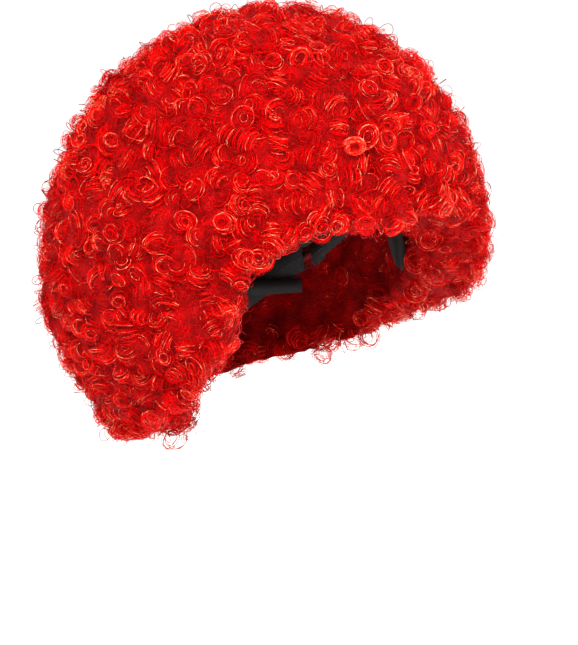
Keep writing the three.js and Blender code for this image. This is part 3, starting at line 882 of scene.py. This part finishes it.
STATION_REACH = 0.11  # degrees: the points this near a station belong to it


def rails(node):
    """The lower and upper edges of a band's inner face, as rows of points round the head."""
    spots = places(NODES[node].data)
    turns = np.degrees(np.arctan2(spots[:, 0], -spots[:, 1]))
    at_back = np.ptp(turns) > 300 and np.abs(turns).min() > 40
    if at_back:
        turns %= 360  # so that the band doesn't break at the half turn
    stations = np.unique(np.round(turns, 1))
    low, high = [], []
    for station in stations:
        here = spots[np.abs(turns - station) < STATION_REACH]
        if len(here) < 4:
            continue
        reach = np.linalg.norm(here[:, :2], axis=1)
        inner = here[np.argsort(reach)[: max(2, len(here) // 2)]]
        low.append(inner[inner[:, 2].argmin()])
        high.append(inner[inner[:, 2].argmax()])
    return np.array(low), np.array(high)


def resampled(line, pitch):
    """Points a pitch apart along a line."""
    steps = np.linalg.norm(np.diff(line, axis=0), axis=1)
    along = np.concatenate([[0], np.cumsum(steps)])
    wanted = np.linspace(0, along[-1], max(2, int(along[-1] / pitch)))
    return np.stack([np.interp(wanted, along, line[:, k]) for k in range(3)], -1)


STITCH_STEPS = 4
STITCH_STAND = 0.35  # how far a stitch stands off the band at its ends, in threads
STITCH_RISE = 0.4  # how much further it stands off in its middle


def zigzag(name, low, high, pitch, thread, material, slot):
    """Zigzag stitches between two lines on a band's inner face."""
    count = min(len(resampled(low, pitch)), len(resampled(high, pitch)))
    lower = resampled(low, pitch)[:count]
    upper = resampled(high, pitch)[:count]
    points = np.where((np.arange(count) % 2 == 0)[:, None], lower, upper)
    points = points - unit(points) * thread * STITCH_STAND
    start, end = points[:-1], points[1:]
    run = np.linspace(0, 1, STITCH_STEPS)[None, :, None]
    paths = start[:, None] * (1 - run) + end[:, None] * run
    rise = np.sin(np.pi * run) * thread * STITCH_RISE
    paths = paths - unit(paths) * rise
    shades = random.integers(0, STRAND_COLUMNS, len(paths))
    piece = strand_mesh(name, paths, np.full(len(paths), thread), shades, outward=paths)
    return place(piece, material, slot, "cap")


def between(low, high, share):
    """The line that lies this share of the way from low to high."""
    return low + (high - low) * share


BAND_WIDTHS = {
    "front_band": 22 * MM,
    "nape_band": 20 * MM,
    "ear_band_left": 12 * MM,
    "ear_band_right": 12 * MM,
}
SEAM_PITCH = 1.6 * MM
SEAM_THREAD = 0.28 * MM
SEAM_LINES = (("lower", 0.10, 0.26), ("upper", 0.74, 0.90))  # shares of a band's width


def dress_bands():
    """The bands at the cap's edge, the ear tabs, their seams and the tapes over the head."""
    for side in SIDES:
        tab = cloth(f"ear_tab_{side}", VELVET, "velvet")
    for node in RIBS:
        rib = cloth(node, ELASTIC, "elastic", over_the_top=node == "rib_middle")
    for node, width in BAND_WIDTHS.items():
        finish, slot = (VELVET, "velvet") if node == "front_band" else (ELASTIC, "elastic")
        band = cloth(node, finish, slot)
        low, high = rails(node)
        stitches = [
            zigzag(
                f"{node}_{edge}_stitch", between(low, high, start), between(low, high, end),
                SEAM_PITCH, SEAM_THREAD, BLACK_THREAD, "elastic")
            for edge, start, end in SEAM_LINES]


WEFT_ROUND = 0.5 * MM
WEFT_PITCH = 1.5 * MM
WEFT_THREAD = 0.45 * MM
WEFT_LINES = (0.15, 0.85)  # shares of a weft's height


def dress_wefts():
    """The wefts that the hair hangs on, each but the crown's sewn down with a zigzag."""
    for node in WEFTS:
        cloth(node, WEFT_TAPE, "weft", radius=WEFT_ROUND)
        if node == "weft_crown":
            continue
        low, high = rails(node)
        lower, upper = (between(low, high, share) for share in WEFT_LINES)
        zigzag(
            f"{node}_stitch", lower, upper, WEFT_PITCH, WEFT_THREAD, RED_THREAD, "weft")


PAD_VOXEL = 0.8 * MM
QUILT_PITCH = 9 * MM
QUILT_DEPTH = 0.7 * MM
QUILT_WIDTH = 0.22  # of a groove, as a share of the way to the next one


def dress_crown():
    """The patch at the crown and the quilted pad on it."""
    patch = cloth("crown_patch", LINING, "net", over_the_top=True)
    pad = remeshed("crown_pad_quilt", NODES["crown_pad"].data.copy(), PAD_VOXEL, 1)
    points, normals = places(pad.data), places(pad.data, "normal")
    first = np.abs(np.sin((points[:, 0] + points[:, 1]) * math.pi / QUILT_PITCH))
    second = np.abs(np.sin((points[:, 0] - points[:, 1]) * math.pi / QUILT_PITCH))
    groove = np.exp(-(np.minimum(first, second) / QUILT_WIDTH) ** 2)
    points -= normals * (groove * QUILT_DEPTH * np.abs(normals[:, 2]))[:, None]
    pad.data.vertices.foreach_set("co", points.reshape(-1))
    pad.data.update()
    add_weave_map(pad.data, over_the_top=True)
    place(pad, LINING, "velvet", "cap", "crown_pad")


LABEL_ROUND = 0.12 * MM
WIRE_ROUND = 0.12 * MM


def dress_adjusters():
    """The blank care label, and each side's strap, hook and row of eyelets."""
    label = cloth("care_label", LABEL, "label", radius=LABEL_ROUND)
    for side in SIDES:
        cloth(f"adjuster_strap_{side}", ELASTIC, "elastic", body=f"strap_{side}")
        cloth(f"eyelet_tape_{side}", ELASTIC, "elastic")
        hook = NODES[f"hook_{side}"]
        hook.data.materials.clear()
        hook.data.materials.append(ENAMEL)
        bevel = hook.modifiers.new("bevel", "BEVEL")
        bevel.width = WIRE_ROUND
        bevel.segments = 2


dress_bands()
dress_wefts()
netting()
dress_crown()
dress_adjusters()
